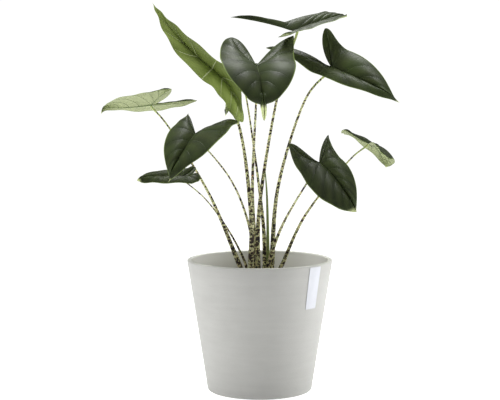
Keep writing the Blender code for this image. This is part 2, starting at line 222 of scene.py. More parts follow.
def makeStalkMottle():
    # dark bars across a stalk: dense and joined at the foot, then broken, then gone near the blade
    tree, given, result = openGroup("stalkMottle", [
        ("Place", "vector", None), ("Along", "float", 0.0), ("Bar Height", "float", 4.0),
        ("Bar Width", "float", 9.0), ("Foot Cover", "float", 0.7), ("Top Cover", "float", 0.4)],
        [("Mask", "float"), ("Soft", "float")])
    wide = calc(tree, "DIVIDE", 1000.0, given["Bar Width"])
    tall = calc(tree, "DIVIDE", 1000.0, given["Bar Height"])
    drawn = calcVector(tree, "MULTIPLY", given["Place"], joinAxes(tree, wide, wide, tall))
    bars = noiseOf(tree, drawn, 0.62, 1.5, 0.55, 0.9)
    cover = addNode(tree, "ShaderNodeMapRange", {"Value": given["Along"], "From Min": 0.02, "From Max": 0.92,
                                                 "To Min": given["Foot Cover"], "To Max": given["Top Cover"]})
    bare = easeRange(tree, given["Along"], 0.90, 0.985, 0.0, 0.5)
    level = plus(tree, minus(tree, 1.0, cover.outputs[0]), bare)
    spread = addNode(tree, "ShaderNodeMapRange", {"Value": level, "To Min": 0.30, "To Max": 0.70}).outputs[0]
    upper = plus(tree, spread, 0.035)
    tree.links.new(easeRange(tree, bars, minus(tree, spread, 0.035), upper), result["Mask"])
    tree.links.new(easeRange(tree, bars, minus(tree, spread, 0.12), upper), result["Soft"])
    return tree


fineGrain, specks, fibreStreaks = makeFineGrain(), makeSpecks(), makeFibreStreaks()
veinLines, stalkMottle = makeVeinLines(), makeStalkMottle()
print("shader groups ready")


def grainOf(tree, place, grainScale, blotchScale):
    return placeGroup(tree, fineGrain, {
        "Place": place, "Grain Scale": grainScale, "Blotch Scale": blotchScale})


def streakOf(tree, place, stretch, scale):
    return placeGroup(tree, fibreStreaks, {"Place": place, "Stretch": stretch, "Scale": scale})["Streak"]


def specksOf(tree, place, scale, size, share):
    return placeGroup(tree, specks, {"Place": place, "Scale": scale, "Size": size, "Share": share})["Mask"]


def makePlanterGrey():
    # inner is a painted light colour: the shaded inside wall is made paler to stand in for the light it lacks
    look = dict(base=(0.60, 0.60, 0.575), shade=(0.55, 0.55, 0.525), pale=(0.68, 0.68, 0.655),
                inner=(0.86, 0.86, 0.83), footReach=107 * mm, lean=0.158)
    material, tree, shader = openMaterial("planterGrey", Specular_IOR_Level=0.35)
    place = objectPlace(tree)
    grain = grainOf(tree, place, 750.0, 14.0)
    streak = streakOf(tree, place, (0.12, 0.12, 1.0), 90.0)
    dots = specksOf(tree, place, 420.0, 0.22, 0.16)
    height = splitAxes(tree, place)[2]
    # painted highlight: the top few millimetres of the pot, its lip, are made paler to stand in for light
    # falling on it from above
    paintedLipLight = easeRange(tree, height, 0.2675, 0.2718)
    # painted light: the inside mask picks out the inner wall, which sits in shade within the pot, so it can
    # be painted paler as if lit
    reach = lengthOf(tree, calcVector(tree, "MULTIPLY", place, (1.0, 1.0, 0.0)))
    wall = calc(tree, "MULTIPLY_ADD", height, look["lean"], look["footReach"])
    inside = easeRange(tree, minus(tree, wall, reach), 1.0 * mm, 2.5 * mm)
    colour = blend(tree, grain["Blotch"], 0.5, look["base"], look["shade"])
    colour = blend(tree, streak, 0.22, colour, look["pale"])
    colour = blend(tree, dots, 0.22, colour, (0.42, 0.42, 0.40))
    # painted highlight on the lip, in the same pale colour as the streaks
    colour = blend(tree, paintedLipLight, 0.55, colour, look["pale"])
    # painted light on the shaded inner wall
    colour = blend(tree, inside, 0.75, colour, look["inner"])
    plug(tree, shader["Base Color"], colour)
    plug(tree, shader["Roughness"], easeRange(tree, grain["Grain"], 0.0, 1.0, 0.58, 0.72))
    rough = plus(tree, grain["Grain"], times(tree, streak, 0.6))
    addBump(tree, shader, rough, 0.12 * mm)
    return material


def makeLabelPaper():
    material, tree, shader = openMaterial("labelPaper", Specular_IOR_Level=0.3)
    place = objectPlace(tree)
    fibre = streakOf(tree, place, (1.0, 1.0, 0.35), 1600.0)
    grain = grainOf(tree, place, 2400.0, 45.0)
    edge = attributeOf(tree, "edgeShare")
    colour = blend(tree, grain["Blotch"], 0.5, (0.83, 0.85, 0.91), (0.78, 0.80, 0.86))
    colour = mixColour(tree, easeRange(tree, edge, 0.93, 1.0, 0.0, 0.35), colour, (0.62, 0.63, 0.66))
    plug(tree, shader["Base Color"], colour)
    plug(tree, shader["Roughness"], easeRange(tree, fibre, 0.0, 1.0, 0.52, 0.7))
    addBump(tree, shader, plus(tree, fibre, grain["Grain"]), 0.05 * mm)
    return material


def makeCompostDark():
    material, tree, shader = openMaterial("compostDark", Specular_IOR_Level=0.3)
    place = objectPlace(tree)
    grain = grainOf(tree, place, 320.0, 38.0)
    pale = specksOf(tree, place, 230.0, 0.3, 0.08)
    colour = mixColour(tree, grain["Grain"], (0.016, 0.010, 0.006), (0.062, 0.040, 0.026))
    colour = blend(tree, grain["Blotch"], 0.4, colour, (0.085, 0.058, 0.038))
    colour = blend(tree, pale, 0.6, colour, (0.24, 0.20, 0.15))
    plug(tree, shader["Base Color"], colour)
    plug(tree, shader["Roughness"], easeRange(tree, grain["Blotch"], 0.0, 1.0, 0.75, 0.98))
    addBump(tree, shader, grain["Grain"], 1.4 * mm)
    return material


def makeCrumbs(name, dark, light, grainScale, roughness):
    # bark, perlite and crown fibres: "tint" is a random share stored on each crumb
    material, tree, shader = openMaterial(name, Specular_IOR_Level=0.3)
    place = objectPlace(tree)
    grain = grainOf(tree, place, grainScale, 90.0)
    streak = streakOf(tree, place, (1.0, 0.25, 1.0), grainScale)
    tint = attributeOf(tree, "tint")
    share = plus(tree, times(tree, tint, 0.65), times(tree, streak, 0.35))
    plug(tree, shader["Base Color"], mixColour(tree, share, dark, light))
    plug(tree, shader["Roughness"], easeRange(tree, grain["Grain"], 0.0, 1.0, roughness - 0.12, roughness))
    addBump(tree, shader, plus(tree, grain["Grain"], streak), 0.35 * mm)
    return material


def makeZebraStalk(name, look):
    material, tree, shader = openMaterial(name, Specular_IOR_Level=0.45, Subsurface_Weight=0.08,
                                          Subsurface_Scale=0.004)
    place = attributeOf(tree, "stalkPlace", "Vector")
    along = attributeOf(tree, "stalkShare")
    mottle = placeGroup(tree, stalkMottle, {
        "Place": place, "Along": along, "Bar Height": look["barHeight"], "Bar Width": look["barWidth"],
        "Foot Cover": look["footCover"], "Top Cover": look["topCover"]})
    streak = streakOf(tree, place, (1.0, 1.0, 0.05), 1400.0)
    grain = grainOf(tree, place, 900.0, 60.0)
    ground = mixColour(tree, easeRange(tree, along, 0.0, 0.55), look["foot"], look["middle"])
    ground = mixColour(tree, easeRange(tree, along, 0.72, 1.0), ground, look["top"])
    ground = blend(tree, streak, 0.3, ground, look["pale"])
    halo = blend(tree, mottle["Soft"], 0.75, ground, look["rim"])
    dark = mixColour(tree, grain["Blotch"], look["bar"], look["barDeep"])
    plug(tree, shader["Base Color"], mixColour(tree, mottle["Mask"], halo, dark))
    gloss = easeRange(tree, grain["Grain"], 0.0, 1.0, 0.36, 0.5)
    plug(tree, shader["Roughness"], plus(tree, gloss, times(tree, mottle["Mask"], 0.06)))
    relief = plus(tree, times(tree, streak, 0.7), mottle["Soft"])
    addBump(tree, shader, plus(tree, relief, times(tree, grain["Grain"], 0.4)), 0.16 * mm)
    return material


def makeBlade(name, look):
    material, tree, shader = openMaterial(name, Specular_IOR_Level=look["gloss"])
    phase, across, _ = splitAxes(tree, addNode(tree, "ShaderNodeUVMap", uv_map="veinMap").outputs[0])
    place = objectPlace(tree)
    ribGap = attributeOf(tree, "ribGap")
    under = attributeOf(tree, "underside")
    tip = attributeOf(tree, "tipTint")
    lines = placeGroup(tree, veinLines, {"Phase": phase, "Across": across, "Width": look["veinWidth"]})
    grain = grainOf(tree, place, 700.0, 26.0)
    dust = specksOf(tree, place, 520.0, 0.13, 0.12)
    rib = minus(tree, 1.0, easeRange(tree, ribGap, look["ribWidth"] * 0.4, look["ribWidth"]))
    edge = easeRange(tree, across, look["edgeStart"], look["edgeStart"] + 0.03)

    # painted sheen: lighter midway between the side veins, darker beside them
    upper = mixColour(tree, lines["Painted Sheen"], look["deep"], look["body"])
    upper = blend(tree, grain["Blotch"], 0.45, upper, look["fresh"])
    upper = blend(tree, lines["Fine"], 0.12, upper, look["deep"])
    upper = blend(tree, lines["Main"], look["veinShow"], upper, look["vein"])
    upper = blend(tree, rib, look["ribShow"], upper, look["rib"])
    lower = blend(tree, grain["Blotch"], 0.5, look["back"], look["backShade"])
    lower = blend(tree, lines["Main"], 0.5, lower, look["backVein"])
    colour = mixColour(tree, under, upper, lower)
    colour = blend(tree, edge, look["edgeShow"], colour, look["edge"])
    colour = mixColour(tree, tip, colour, look["tip"])
    colour = blend(tree, dust, 0.1, colour, (0.5, 0.5, 0.45))
    plug(tree, shader["Base Color"], colour)
    rough = easeRange(tree, grain["Grain"], 0.0, 1.0, look["rough"] - 0.04, look["rough"] + 0.06)
    plug(tree, shader["Roughness"], plus(tree, rough, times(tree, under, 0.16)))
    relief = minus(tree, times(tree, grain["Grain"], 0.06), lines["Main"])
    relief = minus(tree, relief, times(tree, lines["Fine"], 0.06))
    relief = times(tree, minus(tree, relief, rib), easeRange(tree, under, 0.0, 1.0, 1.0, 0.12))
    addBump(tree, shader, relief, 0.3 * mm)
    return material


# in both blade looks, body (midway between side veins) is lighter than deep (beside them) as a painted sheen
# between the veins
darkBlade = dict(
    deep=(0.020, 0.028, 0.009), body=(0.036, 0.047, 0.014), fresh=(0.044, 0.070, 0.016),
    vein=(0.07, 0.10, 0.030), rib=(0.016, 0.020, 0.008), back=(0.42, 0.47, 0.25),
    backShade=(0.33, 0.38, 0.18), backVein=(0.52, 0.56, 0.33), edge=(0.22, 0.30, 0.08),
    tip=(0.70, 0.78, 0.38), gloss=0.42, rough=0.45, veinWidth=0.05, veinShow=0.35, ribShow=0.75,
    ribWidth=1.3 * mm, edgeStart=0.965, edgeShow=0.8)
youngBlade = dict(
    deep=(0.20, 0.27, 0.055), body=(0.27, 0.35, 0.085), fresh=(0.34, 0.42, 0.13),
    vein=(0.66, 0.72, 0.42), rib=(0.06, 0.08, 0.02), back=(0.34, 0.42, 0.15),
    backShade=(0.28, 0.36, 0.11), backVein=(0.55, 0.62, 0.33), edge=(0.36, 0.44, 0.14),
    tip=(0.42, 0.48, 0.16), gloss=0.40, rough=0.42, veinWidth=0.075, veinShow=0.95, ribShow=0.9,
    ribWidth=0.9 * mm, edgeStart=0.975, edgeShow=0.4)
zebraLook = dict(
    foot=(0.60, 0.58, 0.31), middle=(0.70, 0.71, 0.38), top=(0.50, 0.60, 0.20), pale=(0.86, 0.85, 0.60),
    rim=(0.40, 0.37, 0.16), bar=(0.045, 0.028, 0.017), barDeep=(0.014, 0.009, 0.008),
    barHeight=2.9, barWidth=4.6, footCover=0.54, topCover=0.40)
spearLook = dict(
    zebraLook, foot=(0.16, 0.19, 0.05), middle=(0.17, 0.23, 0.06), top=(0.24, 0.31, 0.10),
    pale=(0.30, 0.36, 0.15), footCover=0.02, topCover=0.0)

planterGrey = makePlanterGrey()
labelPaper = makeLabelPaper()
compostDark = makeCompostDark()
barkBrown = makeCrumbs("barkBrown", (0.030, 0.017, 0.010), (0.20, 0.12, 0.065), 700.0, 0.92)
perliteWhite = makeCrumbs("perliteWhite", (0.55, 0.53, 0.48), (0.80, 0.79, 0.75), 900.0, 0.85)
crownFibre = makeCrumbs("crownFibre", (0.055, 0.034, 0.018), (0.26, 0.18, 0.095), 600.0, 0.88)
zebraStalk = makeZebraStalk("zebraStalk", zebraLook)
spearGreen = makeZebraStalk("spearGreen", spearLook)
bladeDark = makeBlade("bladeDark", darkBlade)
bladeYoung = makeBlade("bladeYoung", youngBlade)
print("finishes ready")


# geometry node trees

def spotField(tree):
    return addNode(tree, "GeometryNodeInputPosition").outputs[0]


def storedField(tree, name, form="FLOAT"):
    return addNode(tree, "GeometryNodeInputNamedAttribute", {"Name": name}, data_type=form).outputs[0]


def store(tree, geometry, name, value, **settings):
    return addNode(tree, "GeometryNodeStoreNamedAttribute",
                   {"Geometry": geometry, "Name": name, "Value": value}, **settings).outputs[0]


def moveSpots(tree, geometry, **inputs):
    return addNode(tree, "GeometryNodeSetPosition", {"Geometry": geometry, **inputs}).outputs[0]


def unitRing(tree, sides, name):
    # a circle whose points remember, under this name, where they lie
    ring = addNode(tree, "GeometryNodeCurvePrimitiveCircle", {"Resolution": sides, "Radius": 1.0}).outputs[0]
    return store(tree, ring, name, spotField(tree), data_type="FLOAT_VECTOR")


def closeTree(tree, geometry, given, result):
    real = addNode(tree, "GeometryNodeRealizeInstances", {"Geometry": geometry}).outputs[0]
    done = addNode(tree, "GeometryNodeSetMaterial", {"Geometry": real, "Material": given["Material"]})
    tree.links.new(done.outputs[0], result[0])
    return tree


def turnTree():
    # turns a profile of (radius, height) about the axis
    tree, given, result = openGroup("turnProfile", [
        ("Profile", "geometry", None), ("Sides", "int", 96), ("Stretch Y", "float", 1.0),
        ("Roughness", "float", 0.0), ("Rough Above", "float", 1.0), ("Material", "material", None)],
        [("Mesh", "geometry")], "GeometryNodeTree")
    kept = store(tree, given["Profile"], "turnSpot", spotField(tree), data_type="FLOAT_VECTOR")
    swept = addNode(tree, "GeometryNodeCurveToMesh", {
        "Curve": unitRing(tree, given["Sides"], "turnSpoke"), "Profile Curve": kept}).outputs[0]
    side, level = (splitAxes(tree, storedField(tree, name, "FLOAT_VECTOR"))
                   for name in ("turnSpoke", "turnSpot"))
    x = times(tree, side[0], level[0])
    y = times(tree, times(tree, side[1], level[0]), given["Stretch Y"])
    shaped = moveSpots(tree, swept, Position=joinAxes(tree, x, y, level[1]))
    place = spotField(tree)
    lumps = minus(tree, noiseOf(tree, place, 60.0, 5.0, 0.6), 0.5)
    high = addNode(tree, "FunctionNodeCompare", {0: splitAxes(tree, place)[2], 1: given["Rough Above"]},
                   operation="GREATER_THAN").outputs[0]
    rise = joinAxes(tree, 0.0, 0.0, times(tree, lumps, given["Roughness"]))
    lumpy = moveSpots(tree, shaped, Selection=high, Offset=rise)
    merged = addNode(tree, "GeometryNodeMergeByDistance", {
        "Geometry": lumpy, "Distance": 0.01 * mm}).outputs[0]
    bend = addNode(tree, "GeometryNodeInputMeshEdgeAngle").outputs[0]
    sharp = addNode(tree, "FunctionNodeCompare", {0: bend, 1: math.radians(38)},
                    operation="GREATER_THAN").outputs[0]
    smooth = addNode(tree, "GeometryNodeSetShadeSmooth", {
        "Geometry": merged, "Selection": sharp, "Shade Smooth": False}, domain="EDGE").outputs[0]
    return closeTree(tree, smooth, given, result)


def stalkTree():
    # a round skin along a path; the path's radius is its thickness
    tree, given, result = openGroup("stalkSkin", [
        ("Path", "geometry", None), ("Sides", "int", 20), ("Groove Depth", "float", 0.0),
        ("Groove Reach", "float", 0.06), ("Inward", "vector", (0, 0, 0)), ("Seed", "float", 0.0),
        ("Material", "material", None)], [("Mesh", "geometry")], "GeometryNodeTree")
    run = addNode(tree, "GeometryNodeSplineParameter").outputs
    radius = addNode(tree, "GeometryNodeInputRadius").outputs[0]
    path = given["Path"]
    for name, value in (("stalkAlong", run["Length"]), ("stalkShare", run["Factor"]),
                        ("stalkRadius", radius)):
        path = store(tree, path, name, value)
    skin = addNode(tree, "GeometryNodeCurveToMesh", {
        "Curve": path, "Profile Curve": unitRing(tree, given["Sides"], "ringSpot"), "Scale": radius,
        "Fill Caps": True}).outputs[0]
    along, thick = storedField(tree, "stalkAlong"), storedField(tree, "stalkRadius")
    side = splitAxes(tree, storedField(tree, "ringSpot", "FLOAT_VECTOR"))
    straight = joinAxes(tree, plus(tree, times(tree, side[0], thick), given["Seed"]),
                        times(tree, side[1], thick), along)
    tagged = store(tree, skin, "stalkPlace", straight, data_type="FLOAT_VECTOR")
    out = addNode(tree, "GeometryNodeInputNormal").outputs[0]
    facing = addNode(tree, "ShaderNodeVectorMath", {0: out, 1: given["Inward"]},
                     operation="DOT_PRODUCT").outputs["Value"]
    fade = minus(tree, 1.0, easeRange(tree, along, 0.0, given["Groove Reach"]))
    sink = times(tree, times(tree, easeRange(tree, facing, 0.55, 1.0), fade), given["Groove Depth"])
    cut = moveSpots(tree, tagged, Offset=scaleVector(tree, out, times(tree, sink, -1.0)))
    smooth = addNode(tree, "GeometryNodeSetShadeSmooth", {"Geometry": cut, "Shade Smooth": True}).outputs[0]
    return closeTree(tree, smooth, given, result)


def scatterTree():
    # small crumbs of random size and turn over a surface, between two radii from a centre
    tree, given, result = openGroup("scatterCrumbs", [
        ("Ground", "geometry", None), ("Gap", "float", 0.004), ("Density", "float", 20000.0),
        ("Small", "vector", (0.002, 0.002, 0.001)), ("Large", "vector", (0.006, 0.004, 0.002)),
        ("Inner", "float", 0.0), ("Outer", "float", 0.126), ("Above", "float", 0.0),
        ("Ragged", "float", 0.001), ("Seed", "int", 1), ("Material", "material", None)],
        [("Mesh", "geometry")], "GeometryNodeTree")
    level = splitAxes(tree, spotField(tree))
    reach = lengthOf(tree, joinAxes(tree, level[0], level[1], 0.0))
    tests = [calc(tree, "GREATER_THAN", reach, given["Inner"]),
             calc(tree, "LESS_THAN", reach, given["Outer"]),
             calc(tree, "GREATER_THAN", level[2], given["Above"])]
    spots = addNode(tree, "GeometryNodeDistributePointsOnFaces", {
        "Mesh": given["Ground"], "Selection": times(tree, times(tree, tests[0], tests[1]), tests[2]),
        "Distance Min": given["Gap"], "Density Max": given["Density"], "Seed": given["Seed"]},
        distribute_method="POISSON")
    crumb = addNode(tree, "GeometryNodeMeshIcoSphere", {"Radius": 0.5, "Subdivisions": 1})
    turn, size = (addNode(tree, "FunctionNodeRandomValue", {0: low, 1: high, "Seed": given["Seed"]},
                          data_type="FLOAT_VECTOR").outputs[0]
                  for low, high in (((-0.5, -0.5, 0.0), (0.5, 0.5, 6.283)), (given["Small"], given["Large"])))
    placed = addNode(tree, "GeometryNodeInstanceOnPoints", {
        "Points": spots.outputs[0], "Instance": crumb.outputs[0], "Rotation": turn, "Scale": size}).outputs[0]
    random = addNode(tree, "FunctionNodeRandomValue", {"Seed": given["Seed"]}, data_type="FLOAT").outputs[1]
    tagged = store(tree, placed, "tint", random, domain="INSTANCE")
    real = addNode(tree, "GeometryNodeRealizeInstances", {"Geometry": tagged}).outputs[0]
    shake = addNode(tree, "ShaderNodeTexNoise", {
        "Vector": spotField(tree), "Scale": 420.0, "Detail": 1.0}).outputs[1]
    shake = calcVector(tree, "SUBTRACT", shake, (0.5, 0.5, 0.5))
    ragged = moveSpots(tree, real, Offset=scaleVector(tree, shake, given["Ragged"]))
    return closeTree(tree, ragged, given, result)


turnProfile, stalkSkin, scatterCrumbs = turnTree(), stalkTree(), scatterTree()
print("node trees ready")


def runTree(name, source, tree, settings):
    # puts the tree on the source, sets its inputs by identifier and returns the plain mesh that it gives
    holder = bpy.data.objects.new(name + "Source", source)
    bpy.context.scene.collection.objects.link(holder)
    modifier = holder.modifiers.new("shape", "NODES")
    modifier.node_group = tree
    for item in tree.interface.items_tree:
        if item.in_out == "INPUT" and item.name in settings:
            modifier[item.identifier] = settings[item.name]
    holder.update_tag()
    graph = bpy.context.evaluated_depsgraph_get()
    mesh = bpy.data.meshes.new_from_object(holder.evaluated_get(graph))
    mesh.name = name
    holder.modifiers.remove(modifier)
    bpy.data.objects.remove(holder, do_unlink=True)
    for spare in ("turnSpoke", "turnSpot", "ringSpot", "stalkRadius", "stalkAlong"):
        if spare in mesh.attributes:
            mesh.attributes.remove(mesh.attributes[spare])
    return mesh


def signedVolume(mesh):
    mesh.calc_loop_triangles()
    spots = np.zeros(len(mesh.vertices) * 3)
    mesh.vertices.foreach_get("co", spots)
    corners = np.zeros(len(mesh.loop_triangles) * 3, dtype=np.int32)
    mesh.loop_triangles.foreach_get("vertices", corners)
    a, b, c = spots.reshape(-1, 3)[corners.reshape(-1, 3)].transpose(1, 0, 2)
    return float(np.sum(np.cross(a, b) * c) / 6)


def placePiece(name, mesh, slot, *nodes):
    if signedVolume(mesh) < 0:
        mesh.flip_normals()
    piece = bpy.data.objects.new(name, mesh)
    bpy.context.scene.collection.objects.link(piece)
    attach(piece, "root")
    if nodes:
        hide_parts(*nodes)
    return piece


def curveOf(name, lines, thickness=None):
    # one poly spline per line of points, with an optional radius at each point
    curve = bpy.data.curves.new(name, "CURVE")
    curve.dimensions = "3D"
    for number, line in enumerate(lines):
        spline = curve.splines.new("POLY")
        spline.points.add(len(line) - 1)
        spline.points.foreach_set("co", np.column_stack([line, np.ones(len(line))]).ravel())
        if thickness is not None:
            spline.points.foreach_set("radius", np.asarray(thickness[number], dtype=float))
    return curve


def arcSpots(centre, radius, start, end, steps):
    angles = np.radians(np.linspace(start, end, steps + 1))
    return [(centre[0] + radius * math.cos(a), centre[1] + radius * math.sin(a)) for a in angles]


# planter, turned from one profile
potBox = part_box("planter_pot")
potSizes = dict(rim=potBox[1].x, height=potBox[1].z, base=107 * mm, wall=10 * mm, floor=12 * mm, lip=3 * mm,
                edge=7 * mm, boss=60 * mm, recessWidth=26 * mm, recessDepth=3 * mm, fillet=8 * mm,
                sides=160, steps=8, ringLow=20, ringHigh=260, ringGap=20)


def potRadius(height):
    return potSizes["base"] + (potSizes["rim"] - potSizes["base"]) * height / potSizes["height"]


def potProfile():
    size = potSizes
    wall, lip, edge = size["wall"], size["lip"], size["edge"]
    low, high, gap = size["ringLow"], size["ringHigh"], size["ringGap"]
    lipLow = size["height"] - lip
    foot = size["boss"] + size["recessWidth"]
    floorTop = size["floor"] + size["fillet"]
    inside = potRadius(floorTop) - wall
    spots = [(0, 0), (size["boss"], 0), (size["boss"] + size["recessDepth"], size["recessDepth"]),
             (foot - size["recessDepth"], size["recessDepth"]), (foot, 0)]
    spots += arcSpots((potRadius(edge) - edge, edge), edge, -90, 0, size["steps"])
    spots += [(potRadius(h * mm), h * mm) for h in range(low, high, gap)]
    spots += arcSpots((potRadius(lipLow) - lip, lipLow), lip, 0, 90, size["steps"])
    spots += arcSpots((potRadius(lipLow) - wall + lip, lipLow), lip, 90, 180, size["steps"])
    spots += [(potRadius(h * mm) - wall, h * mm) for h in range(high, low, -gap)]
    spots += arcSpots((inside - size["fillet"], floorTop), size["fillet"], 0, -90, size["steps"])
    return spots + [(0, size["floor"])]


def turnedMesh(name, profile, material, **settings):
    line = [(radius, height, 0.0) for radius, height in profile]
    return runTree(name, curveOf(name, [line]), turnProfile, dict(Material=material, **settings))


pot = turnedMesh("planterPot", potProfile(), planterGrey, Sides=potSizes["sides"])
placePiece("planterPot", pot, "planter", "planter_pot")
print("planter turned")


# label strip, a thin bent sheet with rounded corners
labelSizes = dict(height=86 * mm, width=33 * mm, thick=0.8 * mm, below=3 * mm, azimuth=-42, gap=0.3 * mm,
                  corner=1.6 * mm, columns=24, rows=40, ripple=0.25 * mm, rippleAcross=3.1, rippleDown=40)


def labelMesh():
    size = labelSizes
    top = potSizes["height"] - size["below"]
    columns, rows = size["columns"], size["rows"]
    spots, shares, faces = [], [], []
    for layer in (0, 1):
        for j in range(rows + 1):
            down = size["height"] * j / rows
            inset = max(size["corner"] - min(down, size["height"] - down), 0.0)
            half = size["width"] / 2 - (size["corner"] - math.sqrt(size["corner"] ** 2 - inset ** 2))
            for i in range(columns + 1):
                share = 2 * i / columns - 1
                radius = potRadius(top - down) + size["gap"] + layer * size["thick"]
                ripple = math.sin(size["rippleAcross"] * share + size["rippleDown"] * down)
                radius += size["ripple"] * ripple * layer * (1 - share ** 4)
                angle = math.radians(size["azimuth"]) + half * share / potRadius(top)
                spots.append((radius * math.cos(angle), radius * math.sin(angle), top - down))
                shares.append(max(abs(share), abs(2 * down / size["height"] - 1)))
    count = (rows + 1) * (columns + 1)

    def spot(j, i, layer):
        return layer * count + j * (columns + 1) + i

    for j in range(rows):
        for i in range(columns):
            faces.append((spot(j, i, 1), spot(j + 1, i, 1), spot(j + 1, i + 1, 1), spot(j, i + 1, 1)))
            faces.append((spot(j, i, 0), spot(j, i + 1, 0), spot(j + 1, i + 1, 0), spot(j + 1, i, 0)))
    rim = [(0, i) for i in range(columns)] + [(j, columns) for j in range(rows)]
    rim += [(rows, i) for i in range(columns, 0, -1)] + [(j, 0) for j in range(rows, 0, -1)]
    for a, b in zip(rim, rim[1:] + rim[:1]):
        faces.append((spot(*a, 0), spot(*a, 1), spot(*b, 1), spot(*b, 0)))
    mesh = bpy.data.meshes.new("labelStrip")
    mesh.from_pydata(spots, [], faces)
    mesh.materials.append(labelPaper)
    mesh.attributes.new("edgeShare", "FLOAT", "POINT").data.foreach_set("value", shares)
    mesh.shade_smooth()
    mesh.set_sharp_from_angle(angle=math.radians(50))
    return mesh


placePiece("labelStrip", labelMesh(), "label", "label_strip")


# compost: a lumpy bed with bark, fine crumbs and perlite on it
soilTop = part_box("potting_soil")[1].z
bedSizes = dict(low=12.3 * mm, clear=0.6 * mm, fillet=8 * mm, lumps=9 * mm, sides=180, ringGap=2.0 * mm,
                topDrop=1.5 * mm, roughDrop=1.6 * mm, crumbDrop=6 * mm, crumbDensity=90000.0)


def bedProfile():
    low, high = bedSizes["low"], soilTop - bedSizes["topDrop"]
    corner = low + bedSizes["fillet"]
    edge = potRadius(high) - potSizes["wall"] - bedSizes["clear"]
    spots = [(0, low), (potRadius(low) - potSizes["wall"] - bedSizes["fillet"] - bedSizes["clear"], low),
             (potRadius(corner) - potSizes["wall"] - bedSizes["clear"], corner), (edge, high)]
    rings = int(edge / bedSizes["ringGap"])
    return spots + [(edge * (1 - k / rings), high) for k in range(1, rings + 1)]


bed = turnedMesh("compostBed", bedProfile(), compostDark, Sides=bedSizes["sides"], **{
    "Roughness": bedSizes["lumps"], "Rough Above": soilTop - bedSizes["roughDrop"]})
crumbKinds = {
    "barkChips": dict(Material=barkBrown, Gap=0.0050, Small=(0.004, 0.003, 0.0015),
                      Large=(0.012, 0.007, 0.004), Ragged=0.004, Seed=11),
    "compostCrumbs": dict(Material=compostDark, Gap=0.0027, Small=(0.0015, 0.0015, 0.001),
                          Large=(0.004, 0.0035, 0.003), Ragged=0.002, Seed=5),
    "perliteGrains": dict(Material=perliteWhite, Gap=0.013, Small=(0.0015, 0.0015, 0.0015),
                          Large=(0.004, 0.004, 0.0035), Ragged=0.0015, Seed=23)}
for kind, sizes in crumbKinds.items():
    settings = dict(sizes, Density=bedSizes["crumbDensity"], Above=soilTop - bedSizes["crumbDrop"])
    placePiece(kind, runTree(kind, bed.copy(), scatterCrumbs, settings), "soil")
placePiece("compostBed", bed, "soil", "potting_soil")
print("compost laid")


